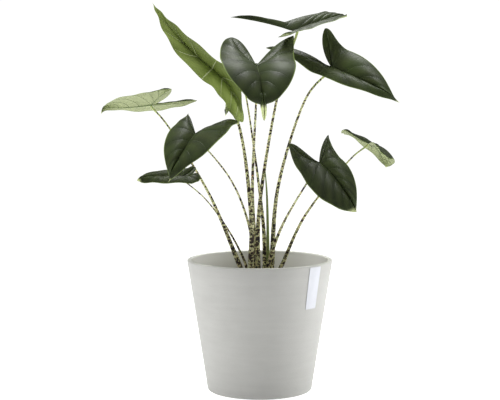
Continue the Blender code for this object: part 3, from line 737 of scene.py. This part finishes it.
# one entry per leaf, in millimetres and degrees; at is where the stalk meets the blade, from the crown's top
leafPlan = {
    "01": dict(at=(-226, 50, 366), heading=140, pitch=-8, roll=16, length=152, halfWidth=(55, 55),
               lobe=(100, 94), lobeOut=(42, 40), bend=-10, tipBend=80, lobeBend=(-6, -5), fold=(10, 8),
               widest=(0.02, 0.3), shoulder=(0.7, 0.3),
               stalk=((-30, 2, 0), (-44, -6, 46), (-104, 28, 182), (-185, 50, 315)), radii=(6.0, 1.7)),
    "02": dict(at=(-129, -85, 312), heading=-114, pitch=-24, roll=-5, length=146, halfWidth=(74, 50),
               lobe=(82, 86), lobeOut=(42, 61), bend=25, lobeBend=(30, 30), fold=(15, 15),
               notch=0.02, full=(0.35, -0.2), widest=(0.04, 0.02), shoulder=(1.2, 0.7),
               stalk=((-4, -6, 0), (-12, -16, 47), (-23, -25, 127), (-59, -46, 219)), radii=(5.0, 1.4)),
    "03": dict(at=(-160, -32, 222), heading=-145, pitch=4, roll=-14, length=103, halfWidth=(42, 42),
               lobe=(34, 62), lobeOut=(13, 36), bend=10, lobeBend=(0, -25), fold=(5, 5),
               lobeTurn=(-25, 0), blunt=(0.6, 0.6),
               stalk=((-27, -14, 0), (-30, -24, 47), (-63, -28, 113), (-110, -27, 177)), radii=(3.5, 1.2)),
    "04": dict(at=(-96, -15, 441), heading=180, pitch=38, roll=-72, length=184, halfWidth=(45, 33),
               lobe=(128, 128), lobeOut=(16, 3), bend=-20, lobeBend=(50, 72), fold=(36, 70),
               joined=0.42, full=(0.5, 0.5), shoulder=(1.3, 0.3),
               stalk=((-16, -24, 0), (-18, -36, 48), (-18, -44, 150), (-42, 8, 323)), radii=(7.0, 2.6),
               wave=1.6, waves=3.5, arch=3, young=True),
    "05": dict(at=(-6, -110, 446), heading=-83, pitch=-18, roll=0, length=155, halfWidth=(76, 73),
               lobe=(116, 128), lobeOut=(88, 38), bend=45, tipBend=40, lobeBend=(-15, -15), fold=(12, 12),
               full=(0.05, 0.38), shoulder=(-0.3, 0.75), drip=(0.775, 0.037),
               stalk=((-10, 10, 0), (-8, 4, 47), (-15, 0, 195), (-8, -50, 370)), radii=(6.0, 2.0),
               tipStart=0.80),
    "06": dict(at=(148, 15, 444), heading=-48, pitch=-15, roll=32, length=200, halfWidth=(51, 44),
               lobe=(98, 160), lobeOut=(66, 46), bend=10, lobeBend=(-15, 24), fold=(17, 17),
               lobeTurn=(0, -17), notch=0.02, full=(-0.05, 0.45), shoulder=(-1.2, 0.3),
               stalk=((22, 4, 0), (25, 4, 47), (38, 10, 201), (91, 20, 373)), radii=(6.5, 2.2)),
    "07": dict(at=(78, 40, 520), heading=42, pitch=14, roll=11, length=146, halfWidth=(43, 60),
               lobe=(152, 98), lobeOut=(40, 46), bend=5, lobeBend=(12, -10), fold=(14, 14),
               widest=(0.78, 0.02), lobeTurn=(-24, 0), full=(-0.25, 0.0), blunt=(1.0, 0.5), curl=(0, 7),
               stalk=((2, -20, 0), (-4, -26, 47), (1, -15, 177), (36, 15, 383)), radii=(6.0, 2.2)),
    "08": dict(at=(-36, 85, 413), heading=112, pitch=-32, roll=-35, length=125, halfWidth=(35, 40),
               lobe=(60, 46), lobeOut=(30, 26), bend=10, lobeBend=(20, 20), fold=(6, 6),
               stalk=((10, 18, 0), (11, 20, 47), (5, 28, 146), (-21, 65, 340)), radii=(6.0, 1.7)),
    "09": dict(at=(119, -90, 255), heading=-60, pitch=-20, roll=26, length=158, halfWidth=(40, 56),
               lobe=(72, 82), lobeOut=(64, 28), bend=26, lobeBend=(0, -25), fold=(2, 8), widest=(0.10, 0.40),
               notch=0.02, full=(-0.08, 0.3), shoulder=(0.1, 0.1), blunt=(0.2, 0.6),
               stalk=((16, -22, 0), (18, -30, 47), (46, -50, 128), (94, -76, 215)), radii=(5.5, 1.7)),
    "10": dict(at=(226, 30, 287), heading=70, pitch=-6, roll=35, length=145, halfWidth=(56, 58),
               lobe=(72, 80), lobeOut=(38, 38), bend=36, lobeBend=(-25, -32), fold=(-14, 5),
               blunt=(0.0, 0.4),
               stalk=((34, 12, 0), (47, 12, 40), (95, 15, 142), (181, 25, 249)), radii=(5.0, 1.6)),
}
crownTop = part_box("rootstock")[1].z
leafDefaults = dict(notch=0.08, joined=0.0, widest=(0.02, 0.02), full=(0.0, 0.0), shoulder=(0.7, 0.7),
                    blunt=(0.0, 0.0), lobeTurn=(0, 0), tipBend=0, drip=(1.0, 0.0), tipStart=0.93,
                    wave=1.0, waves=2.5, arch=6, curl=(0, 0), young=False)
leafPlan = {number: {**leafDefaults, **leaf} for number, leaf in leafPlan.items()}
bladeSizes = dict(rows=64, lobeRows=40, columns=20, sinusColumns=7, thick=0.9 * mm, thinEdge=0.45 * mm,
                  frontVeins=5, lobeVeins=4, bow=0.13, quilt=1.1 * mm, crease=3 * mm, turnReach=0.15,
                  marks=1200, probe=0.4 * mm, weld=0.002 * mm, lobeGap=30 * mm, tipFade=0.06)
edgeShares = dict(tipLead=0.82, bluntRise=0.6, frontLead=0.60, frontFull=0.98, backLead=0.40, backEnd=0.97,
                  sinusLead=0.08, sinusRise=0.10, sinusEnd=0.88, sinusReach=0.4, sinusOut=0.52,
                  dripFlare=0.65)
liftShares = dict(tipFade=0.16, lobeFade=0.72, cushionTop=0.7, cushionSide=0.8, sinusQuilt=0.4,
                  sinusArch=0.25, archSkew=0.8, edgeDroop=0.35, curlStart=0.72)


def cubicLine(p0, p1, p2, p3, t):
    t = np.atleast_1d(np.asarray(t, dtype=float))[:, None]
    p0, p1, p2, p3 = (np.array(p, dtype=float) for p in (p0, p1, p2, p3))
    return (1 - t) ** 3 * p0 + 3 * (1 - t) ** 2 * t * p1 + 3 * (1 - t) * t * t * p2 + t ** 3 * p3


def ease(value, low, high):
    share = np.clip((value - low) / (high - low), 0, 1)
    return share * share * (3 - 2 * share)


def flatLines(leaf, side):
    # ribs and edges of one half of the blade laid flat, as functions that give (along, across) in metres
    pick = 0 if side > 0 else 1
    length, part = leaf["length"], edgeShares
    width, lobe, out = (leaf[key][pick] / length for key in ("halfWidth", "lobe", "lobeOut"))
    full, shoulder, widest, blunt = (leaf[key][pick] for key in ("full", "shoulder", "widest", "blunt"))
    joined = leaf["notch"] + leaf["joined"]
    ahead = 1 - widest
    tipLead = part["tipLead"] + (1 - part["tipLead"]) * blunt
    sinusEnd = part["sinusEnd"] + part["sinusReach"] * full
    scale = np.array([length * mm, side * length * mm])
    corners = dict(
        rib=((1, 0), (2 / 3, 0), (1 / 3, 0), (0, 0)),
        front=((1, 0), (widest + tipLead * ahead, part["bluntRise"] * blunt * width),
               (widest + part["frontLead"] * ahead, part["frontFull"] * width), (widest, width)),
        lobeRib=((0, 0), (-0.25 * lobe, 0.30 * out), (-0.65 * lobe, 0.85 * out), (-lobe, out)),
        back=((widest, width), (widest - part["backLead"] * lobe, width),
              (-part["backEnd"] * lobe, out + shoulder * (width - out)), (-lobe, out)),
        sinus=((-joined, 0), (-joined - part["sinusLead"], part["sinusRise"] * (1 - full) * out),
               (-sinusEnd * lobe, (part["sinusOut"] - full) * out), (-lobe, out)))
    dripStart, dripHalf = leaf["drip"]

    def line(key, t):
        spots = cubicLine(*corners[key], t)
        if key == "front" and dripHalf:
            beyond = np.clip((spots[:, 0] - dripStart) / (1 - dripStart), 0, 1)
            flare = part["dripFlare"] * np.sqrt(np.maximum(dripStart - spots[:, 0], 0))
            limit = dripHalf * np.sqrt(1 - beyond ** 2) + flare
            spots[:, 1] = np.where(beyond > 0, limit, np.minimum(spots[:, 1], limit))
        return spots * scale

    return {key: (lambda t, key=key: line(key, t)) for key in corners}


def bladeShape(leaf, side):
    # a function that lays flat (along, across) out in space, and the surface normal there
    pick = 0 if side > 0 else 1
    length, lobe = leaf["length"] * mm, leaf["lobe"][pick] * mm
    notch = leaf["notch"] * length
    pitch, roll, heading, bend, tipBend = (
        math.radians(leaf[key]) for key in ("pitch", "roll", "heading", "bend", "tipBend"))
    fold, lobeBend, lobeTurn = (math.radians(leaf[key][pick]) for key in ("fold", "lobeBend", "lobeTurn"))
    marks = np.linspace(-1.1 * lobe - 5 * mm, 1.05 * length, bladeSizes["marks"])
    turned = ease(-marks, 0, bladeSizes["turnReach"] * length)
    ahead = pitch - bend * marks / length - tipBend * np.maximum(4 * marks / length - 3, 0) ** 2
    behind = pitch + lobeTurn * turned - lobeBend / lobe * np.minimum(marks + notch, 0)
    slope = np.where(marks >= 0, ahead, behind)
    run, rise = (np.concatenate([[0], np.cumsum((part[1:] + part[:-1]) / 2 * (marks[1] - marks[0]))])
                 for part in (np.cos(slope), np.sin(slope)))
    run -= np.interp(0, marks, run)
    rise -= np.interp(0, marks, rise)
    forward = np.array([math.cos(heading), math.sin(heading), 0.0])
    left = np.array([-math.sin(heading), math.cos(heading), 0.0])
    up = np.array([0.0, 0.0, 1.0])
    middle = np.array(leaf["at"]) * mm + crownTop * up

    def lay(along, across):
        here = np.interp(along, marks, slope)[:, None]
        normal = -np.sin(here) * forward + np.cos(here) * up
        lateral = math.cos(roll) * left + math.sin(roll) * normal
        raised = -math.sin(roll) * left + math.cos(roll) * normal
        soft = np.sqrt(across ** 2 + bladeSizes["crease"] ** 2) - bladeSizes["crease"]
        course = np.interp(along, marks, run)[:, None] * forward + np.interp(along, marks, rise)[:, None] * up
        return (middle + course + math.cos(fold) * across[:, None] * lateral
                + math.sin(fold) * soft[:, None] * raised)

    def shape(flat, lift):
        along, across = flat[:, 0], flat[:, 1]
        h = bladeSizes["probe"]
        normal = np.cross(lay(along + h, across) - lay(along - h, across),
                          lay(along, across + h) - lay(along, across - h))
        normal /= np.linalg.norm(normal, axis=1)[:, None]
        return lay(along, across) + lift[:, None] * normal, normal

    return shape


def veinPhase(kind, t, v):
    lean = bladeSizes["bow"] * np.sin(math.pi * t) * v * v
    if kind == "front":
        return bladeSizes["frontVeins"] * (t + lean)
    return bladeSizes["frontVeins"] + bladeSizes["lobeVeins"] * (t - lean * (kind == "back"))


def bladeLift(leaf, side, kind, t, v):
    # heights off the plain sheet: cushions between the side veins, the arch, the wavy edge, a rolled margin
    part = liftShares
    arch = leaf["arch"] * mm
    fade = ease(t, 0.0, part["tipFade"]) if kind == "front" else 1 - ease(t, part["lobeFade"], 1.0)
    cushion = np.abs(np.sin(math.pi * veinPhase(kind, t, v))) ** part["cushionTop"]
    cushion = cushion * (4 * v * (1 - v)) ** part["cushionSide"]
    if kind == "sinus":
        return (part["sinusQuilt"] * bladeSizes["quilt"] * cushion
                + part["sinusArch"] * arch * np.sin(math.pi * v)) * fade
    around = t if kind == "front" else 1 + t
    wave = leaf["wave"] * mm * np.sin(2 * math.pi * leaf["waves"] * around + side) * v ** 4
    crown = arch * (np.sin(math.pi * v ** part["archSkew"]) - part["edgeDroop"] * v ** 6)
    curl = leaf["curl"][0 if side > 0 else 1] * mm * ease(v, part["curlStart"], 1.0)
    return (bladeSizes["quilt"] * cushion + wave + crown + curl) * fade


def bladeMesh(name, leaf, material):
    size = bladeSizes
    flats, sides, kinds, ts, vs, quads = [], [], [], [], [], []
    for side in (1, -1):
        lines = flatLines(leaf, side)
        patches = (("front", "rib", "front", size["rows"], size["columns"], side),
                   ("back", "lobeRib", "back", size["lobeRows"], size["columns"], side),
                   ("sinus", "lobeRib", "sinus", size["lobeRows"], size["sinusColumns"], -side))
        for kind, inner, outer, rows, columns, turn in patches:
            t = np.linspace(0, 1, rows + 1)
            v = np.linspace(0, 1, columns + 1)
            a, b = lines[inner](t)[:, None, :], lines[outer](t)[:, None, :]
            grid = a * (1 - v[None, :, None]) + b * v[None, :, None]
            start = sum(len(f) for f in flats)
            flats.append(grid.reshape(-1, 2))
            ts.append(np.repeat(t, columns + 1))
            vs.append(np.tile(v, rows + 1))
            kinds += [kind] * grid[..., 0].size
            sides += [side] * grid[..., 0].size
            at = start + np.arange((rows + 1) * (columns + 1)).reshape(rows + 1, columns + 1)
            four = np.stack([at[:-1, :-1], at[:-1, 1:], at[1:, 1:], at[1:, :-1]], axis=-1).reshape(-1, 4)
            quads.append(four if turn > 0 else four[:, ::-1])
    flat, t, v = np.concatenate(flats), np.concatenate(ts), np.concatenate(vs)
    kinds, sides, quads = np.array(kinds), np.array(sides), np.concatenate(quads)
    spots = np.zeros((len(flat), 3))
    normals = np.zeros((len(flat), 3))
    phase = np.zeros(len(flat))
    for side in (1, -1):
        for kind in ("front", "back", "sinus"):
            pick = (kinds == kind) & (sides == side)
            lift = bladeLift(leaf, side, kind, t[pick], v[pick])
            spots[pick], normals[pick] = bladeShape(leaf, side)(flat[pick], lift)
            phase[pick] = veinPhase(kind, t[pick], v[pick])
    keys = np.round(flat / size["weld"]).astype(np.int64)
    _, first, shared = np.unique(keys, axis=0, return_index=True, return_inverse=True)
    shared = shared.ravel()
    length = leaf["length"] * mm
    half = (size["thick"] * (1 - v) + size["thinEdge"] * v)[first] / 2
    upper = spots[first] + half[:, None] * normals[first]
    lower = spots[first] - half[:, None] * normals[first]
    count = len(first)
    faces, corners = [], []
    for quad in quads:
        ring = [(int(shared[i]), int(i)) for i in quad]
        ring = [spot for spot, other in zip(ring, ring[-1:] + ring[:-1]) if spot[0] != other[0]]
        if len(ring) < 3:
            continue
        faces.append([vertex for vertex, _ in ring])
        corners.append([i for _, i in ring])
    edges = {}
    for face, marks in zip(faces, corners):
        for a, b, i, j in zip(face, face[1:] + face[:1], marks, marks[1:] + marks[:1]):
            edges[(a, b)] = (i, j)
    shell = list(faces)
    shellMarks = list(corners)
    for face, marks in zip(faces, corners):
        shell.append([count + i for i in reversed(face)])
        shellMarks.append(marks[::-1])
    for (a, b), (i, j) in edges.items():
        if (b, a) not in edges:
            shell.append([b, a, count + a, count + b])
            shellMarks.append([j, i, i, j])
    mesh = bpy.data.meshes.new(name)
    mesh.from_pydata(np.concatenate([upper, lower]).tolist(), [], shell)
    mesh.materials.append(material)
    flatMarks = np.array([i for marks in shellMarks for i in marks])
    layer = mesh.uv_layers.new(name="veinMap")
    veinSpots = np.column_stack([phase[flatMarks], v[flatMarks]]).astype(np.float32)
    layer.data.foreach_set("uv", veinSpots.ravel())
    share = flat[first, 0] / length
    gap = np.abs(flat[first, 1])
    lobed = flat[first, 0] < 0
    gap[lobed] = v[first][lobed] * size["lobeGap"]
    gap = gap / (0.15 + 0.85 * np.clip(1 - np.abs(share), 0, 1))
    tip = ease(share, leaf["tipStart"], leaf["tipStart"] + size["tipFade"])
    for label, values in (("underside", np.concatenate([np.zeros(count), np.ones(count)])),
                          ("ribGap", np.tile(gap, 2)), ("tipTint", np.tile(tip, 2))):
        mesh.attributes.new(label, "FLOAT", "POINT").data.foreach_set("value", values.astype(np.float32))
    mesh.shade_smooth()
    mesh.set_sharp_from_angle(angle=math.radians(60))
    return mesh


# thicknesses at a rib's start and end are in millimetres, and reaches are shares of its length
ribSizes = dict(sides=7, steps=40, lobeSteps=26, veinSteps=20, reach=0.97, lobeReach=0.95,
                veinReach=(0.01, 0.93), sink=0.42, middle=(1.25, 0.25), lobe=(1.0, 0.25),
                frontVein=(0.55, 0.15), lobeVein=(0.45, 0.12))


def ribLines(leaf):
    # paths of the raised ribs on the blade's underside, with their thickness
    size, bow = ribSizes, bladeSizes["bow"]
    front, lobe = bladeSizes["frontVeins"], bladeSizes["lobeVeins"]
    lines, thickness = [], []

    def addLine(side, kind, spots, t, v, ends):
        place, normal = bladeShape(leaf, side)(spots, bladeLift(leaf, side, kind, t, v))
        lines.append(place - normal * bladeSizes["thick"] * size["sink"])
        thickness.append(np.linspace(*ends, len(spots)) * mm)

    share = np.linspace(0, 1, size["steps"])
    middle = flatLines(leaf, 1)["rib"](1 - size["reach"] * share)
    addLine(1, "front", middle, 1 - share, 0 * share, size["middle"])
    for side in (1, -1):
        run = flatLines(leaf, side)
        reach = np.linspace(0, size["lobeReach"], size["lobeSteps"])
        addLine(side, "back", run["lobeRib"](reach), reach, 0 * reach, size["lobe"])
        v = np.linspace(*size["veinReach"], size["veinSteps"])
        for kind, rib, count, last, lean, ends in (
                ("front", "rib", front, front, -bow, size["frontVein"]),
                ("back", "lobeRib", lobe, lobe - 1, bow, size["lobeVein"])):
            for number in range(1, last + 1):
                start = number / count
                t = np.clip(start + lean * math.sin(math.pi * start) * v * v, 0, 1)
                flat = run[rib](t) * (1 - v[:, None]) + run[kind](t) * v[:, None]
                addLine(side, kind, flat, t, v, ends)
    return lines, thickness


def stalkSpots(knots, count):
    # a smooth line through the knots, evenly spaced
    knots = [np.array(k, dtype=float) for k in knots]
    padded = [2 * knots[0] - knots[1]] + knots + [2 * knots[-1] - knots[-2]]
    fine = []
    for a, b, c, d in zip(padded, padded[1:], padded[2:], padded[3:]):
        for t in np.linspace(0, 1, stalkSizes["knotSteps"], endpoint=False):
            fine.append(0.5 * (2 * b + (c - a) * t + (2 * a - 5 * b + 4 * c - d) * t ** 2
                               + (3 * b - a - 3 * c + d) * t ** 3))
    fine = np.array(fine + [knots[-1]])
    lengths = np.concatenate([[0], np.cumsum(np.linalg.norm(np.diff(fine, axis=0), axis=1))])
    marks = np.linspace(0, lengths[-1], count)
    return np.stack([np.interp(marks, lengths, fine[:, axis]) for axis in range(3)], axis=1), marks


def stalkKnots(places):
    base = np.array([0.0, 0.0, crownTop])
    knots = [np.array(k) * mm + base for k in places]
    knots.insert(1, knots[0] + np.array([0.0, 0.0, stalkSizes["upright"]]))
    return knots


stalkSizes = dict(rings=150, sides=22, flare=0.35, flareReach=14 * mm, joint=0.22, jointReach=9 * mm,
                  jointBelow=10 * mm, grooveDepth=2.2 * mm, grooveReach=70 * mm, grooveFoot=6 * mm,
                  gap=0.3 * mm, seat=0.8, knotSteps=24, upright=14 * mm)
veinRib = makeCrumbs("veinRib", (0.15, 0.21, 0.08), (0.27, 0.33, 0.15), 900.0, 0.55)


def makeStalk(number, leaf):
    size = stalkSizes
    foot, top = (r * mm for r in leaf["radii"])
    end, normal = bladeShape(leaf, 1)(np.zeros((1, 2)), np.zeros(1))
    knots = stalkKnots(leaf["stalk"]) + [end[0] - normal[0] * (size["gap"] + size["seat"] * top)]
    line, marks = stalkSpots(knots, size["rings"])
    share = marks / marks[-1]
    thick = top + (foot - top) * (1 - share) ** 2
    thick = thick * (1 + size["flare"] * np.exp(-marks / size["flareReach"]))
    below = marks[-1] - marks - size["jointBelow"]
    thick = thick * (1 + size["joint"] * np.exp(-(below / size["jointReach"]) ** 2))
    inward = Vector((-line[0][0], -line[0][1], 0.0)).normalized()
    name = "stalk" + number
    mesh = runTree(name, curveOf(name, [line], [thick]), stalkSkin, {
        "Sides": size["sides"], "Groove Depth": size["grooveDepth"] * foot / size["grooveFoot"],
        "Groove Reach": size["grooveReach"], "Inward": inward, "Seed": 0.37 * int(number),
        "Material": zebraStalk})
    placePiece(name, mesh, "stem", "petiole_" + number)


for number, leaf in leafPlan.items():
    finish, slot = (bladeYoung, "blade_new") if leaf["young"] else (bladeDark, "blade")
    placePiece("blade" + number, bladeMesh("blade" + number, leaf, finish), slot, "leaf_blade_" + number)
    lines, thickness = ribLines(leaf)
    ribs = runTree("ribs" + number, curveOf("ribs" + number, lines, thickness), stalkSkin, {
        "Sides": ribSizes["sides"], "Groove Depth": 0.0, "Seed": 0.1 * int(number), "Material": veinRib})
    placePiece("ribs" + number, ribs, slot)
    makeStalk(number, leaf)
print("leaves grown")


# the rolled new leaf, with the free edge of its roll showing as a step
spearSizes = dict(stalk=((16, -8, 0), (17, -12, 70), (15, -14, 174), (11, -17, 236)), radii=(4.4, 0.6),
                  taper=0.6, rings=90, sides=36, step=0.2, turns=0.35, outer=1.08, closing=0.995)


def spearMesh():
    size = spearSizes
    line, marks = stalkSpots(stalkKnots(size["stalk"]), size["rings"])
    share = marks / marks[-1]
    foot, top = (r * mm for r in size["radii"])
    thick = top + (foot - top) * (1 - share) ** size["taper"]
    ahead = np.gradient(line, axis=0)
    ahead /= np.linalg.norm(ahead, axis=1)[:, None]
    across = np.array([1.0, 0.0, 0.0])
    spots, places, along = [], [], []
    for centre, direction, radius, part, mark in zip(line, ahead, thick, share, marks):
        across = across - np.dot(across, direction) * direction
        across /= np.linalg.norm(across)
        other = np.cross(direction, across)
        for i in range(size["sides"]):
            turn = i / (size["sides"] - 1)
            reach = radius * (size["outer"] - size["step"] * turn)
            angle = 2 * math.pi * (min(turn, size["closing"]) + size["turns"] * part)
            spots.append(centre + reach * (math.cos(angle) * across + math.sin(angle) * other))
            places.append((reach * math.cos(angle), reach * math.sin(angle), mark))
            along.append(part)
    sides = size["sides"]
    faces = [tuple(range(sides))[::-1]]
    for ring in range(size["rings"] - 1):
        for i in range(sides):
            j = (i + 1) % sides
            faces.append((ring * sides + i, ring * sides + j, (ring + 1) * sides + j, (ring + 1) * sides + i))
    faces.append(tuple(range((size["rings"] - 1) * sides, size["rings"] * sides)))
    mesh = bpy.data.meshes.new("spearRoll")
    mesh.from_pydata([tuple(s) for s in spots], [], faces)
    mesh.materials.append(spearGreen)
    mesh.attributes.new("stalkPlace", "FLOAT_VECTOR", "POINT").data.foreach_set("vector", np.ravel(places))
    mesh.attributes.new("stalkShare", "FLOAT", "POINT").data.foreach_set("value", along)
    mesh.shade_smooth()
    mesh.set_sharp_from_angle(angle=math.radians(45))
    return mesh


placePiece("spearRoll", spearMesh(), "spear", "spear_sheath")


# crown: the fibrous mound that carries the stalks
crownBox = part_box("rootstock")
crownSizes = dict(sides=120, lumps=3.5 * mm, inset=0.12, steps=6, topRings=30, roughFrom=1 * mm)


def crownProfile(half):
    low, high = crownBox[0].z, crownBox[1].z
    inset, steps, rings = crownSizes["inset"], crownSizes["steps"], crownSizes["topRings"]
    spots = [(0, low), (half, low)]
    spots += [(half * (1 - inset * k / steps), low + (high - low) * math.sin(math.pi / 2 * k / steps))
              for k in range(1, steps + 1)]
    return spots + [(half * (1 - inset) * (1 - k / rings), high) for k in range(1, rings + 1)]


halfCrown = (crownBox[1] - crownBox[0]) / 2
centreCrown = (crownBox[1] + crownBox[0]) / 2
crown = turnedMesh("crownMound", crownProfile(halfCrown.x), crownFibre, Sides=crownSizes["sides"], **{
    "Stretch Y": halfCrown.y / halfCrown.x, "Roughness": crownSizes["lumps"],
    "Rough Above": crownBox[0].z + crownSizes["roughFrom"]})
for vertex in crown.vertices:
    vertex.co.x += centreCrown.x
    vertex.co.y += centreCrown.y
placePiece("crownMound", crown, "rootstock", "rootstock")
print("crown and spear ready")


# floor, lights and camera; white seen straight on is lit more than the white that lights the plant
studio = dict(floorHalf=6, floorGrey=0.93, floorSeen=0.6, floorGlow=0.25, worldSeen=0.83, worldGlow=0.22)


def makeFloor():
    half = studio["floorHalf"]
    mesh = bpy.data.meshes.new("floorSheet")
    corners = [(-half, -half, 0), (half, -half, 0), (half, half, 0), (-half, half, 0)]
    mesh.from_pydata(corners, [], [(0, 1, 2, 3)])
    material, tree, shader = openMaterial("floorWhite", Roughness=0.9, Specular_IOR_Level=0.1)
    plug(tree, shader["Base Color"], (studio["floorGrey"],) * 3)
    seen = addNode(tree, "ShaderNodeLightPath").outputs["Is Camera Ray"]
    glow = calc(tree, "MULTIPLY_ADD", seen, studio["floorSeen"], studio["floorGlow"])
    plug(tree, shader["Emission Strength"], glow)
    plug(tree, shader["Emission Color"], (1.0, 1.0, 1.0))
    mesh.materials.append(material)
    floor = bpy.data.objects.new("floorSheet", mesh)
    bpy.context.scene.collection.objects.link(floor)


def addSoftbox(name, place, aim, size, power, mirrored):
    lamp = bpy.data.lights.new(name, "AREA")
    lamp.shape = "RECTANGLE"
    lamp.size, lamp.size_y = size
    lamp.energy = power
    holder = bpy.data.objects.new(name, lamp)
    holder.location = place
    holder.visible_glossy = mirrored
    holder.rotation_euler = (Vector(aim) - Vector(place)).to_track_quat("-Z", "Y").to_euler()
    bpy.context.scene.collection.objects.link(holder)


makeFloor()
softboxes = {
    "softboxLeft": ((-2.0, 0.0, 0.7), (0, 0, 0.3), (0.8, 1.4), 16, False),
    "softboxRight": ((2.0, 0.35, 0.6), (0, 0, 0.25), (0.8, 1.2), 28, False),
    "softboxTop": ((-0.45, 0.2, 2.4), (0, 0, 0.4), (1.1, 0.8), 40, False),
    "softboxStrip": ((0.08, 1.1, 2.3), (0.08, 0.35, 0.4), (0.26, 1.5), 11, True)}
for name, values in softboxes.items():
    addSoftbox(name, *values)

world = bpy.data.worlds.new("studioWhite")
world.use_nodes = True
sky = world.node_tree
background = sky.nodes["Background"].inputs
plug(sky, background[0], (1.0, 1.0, 1.0))
seen = addNode(sky, "ShaderNodeLightPath").outputs["Is Camera Ray"]
plug(sky, background[1], calc(sky, "MULTIPLY_ADD", seen, studio["worldSeen"], studio["worldGlow"]))
bpy.context.scene.world = world
bpy.context.scene.view_settings.view_transform = "Standard"

cameraPlan = dict(place=(-0.020, -3.2, 0.70), aim=(-0.020, 0, 0.3935), lens=113, sensor=36)
lens = bpy.data.cameras.new("mainCamera")
lens.lens, lens.sensor_width = cameraPlan["lens"], cameraPlan["sensor"]
camera = bpy.data.objects.new("mainCamera", lens)
camera.location = cameraPlan["place"]
sight = Vector(cameraPlan["aim"]) - camera.location
camera.rotation_euler = sight.to_track_quat("-Z", "Y").to_euler()
bpy.context.scene.collection.objects.link(camera)
bpy.context.scene.camera = camera
print("stage ready")
